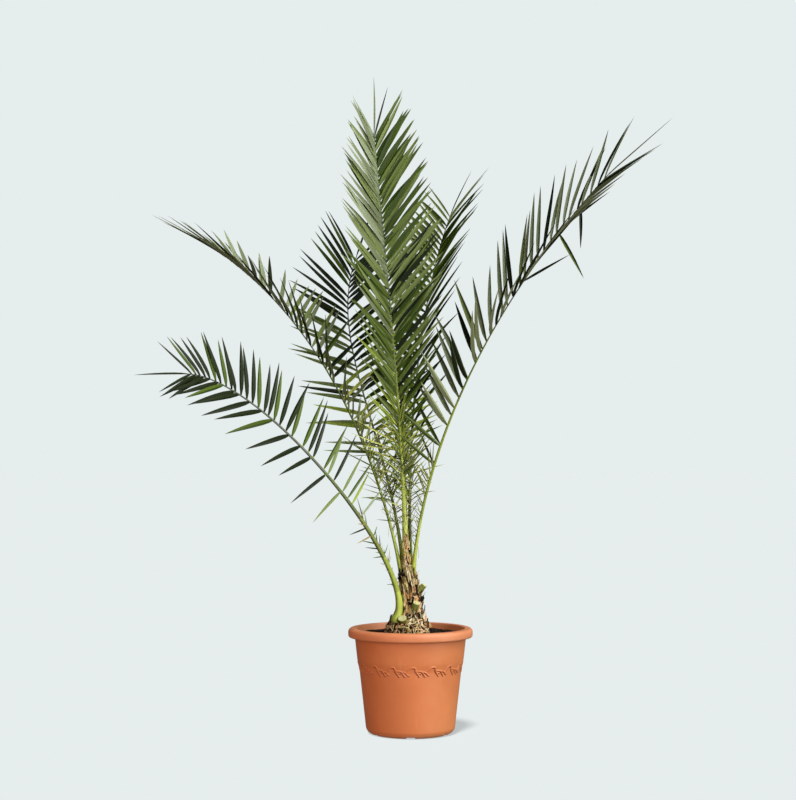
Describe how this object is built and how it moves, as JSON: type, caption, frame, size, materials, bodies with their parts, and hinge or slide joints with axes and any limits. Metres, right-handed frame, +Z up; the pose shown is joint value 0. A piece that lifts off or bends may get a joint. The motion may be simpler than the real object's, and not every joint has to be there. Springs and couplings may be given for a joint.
{
  "type": "potted canary island date palm",
  "caption": "Young feather palm with long arching fronds on a short fibrous trunk, standing in a round, rimmed, terracotta-coloured plastic pot filled with soil.",
  "frame": {"origin": "centre of the pot's flat underside, at floor level", "axes": "+Z up from the floor to the crown; -Y to the front, where the drainage notch shows; +X to the plant's right-hand frond"},
  "size_m": [1.428, 0.8885, 1.8787],
  "materials": {
    "pot_plastic": "matte moulded terracotta-coloured plastic",
    "soil": "dark loose potting soil",
    "palm_fibre": "rough brown fibre with cut leaf bases",
    "frond_green": "leathery green leaflets with a soft sheen"
  },
  "bodies": {
    "root": {"Pot": "pot_plastic", "Soil": "soil", "Trunk": "palm_fibre", "Spear": "frond_green", "Frond_Centre": "frond_green", "Frond_Lower_Left": "frond_green", "Frond_Right": "frond_green", "Frond_Upper_Left": "frond_green", "Frond_Back_Left": "frond_green", "Frond_Back_Right": "frond_green"}
  },
  "joints": []
}
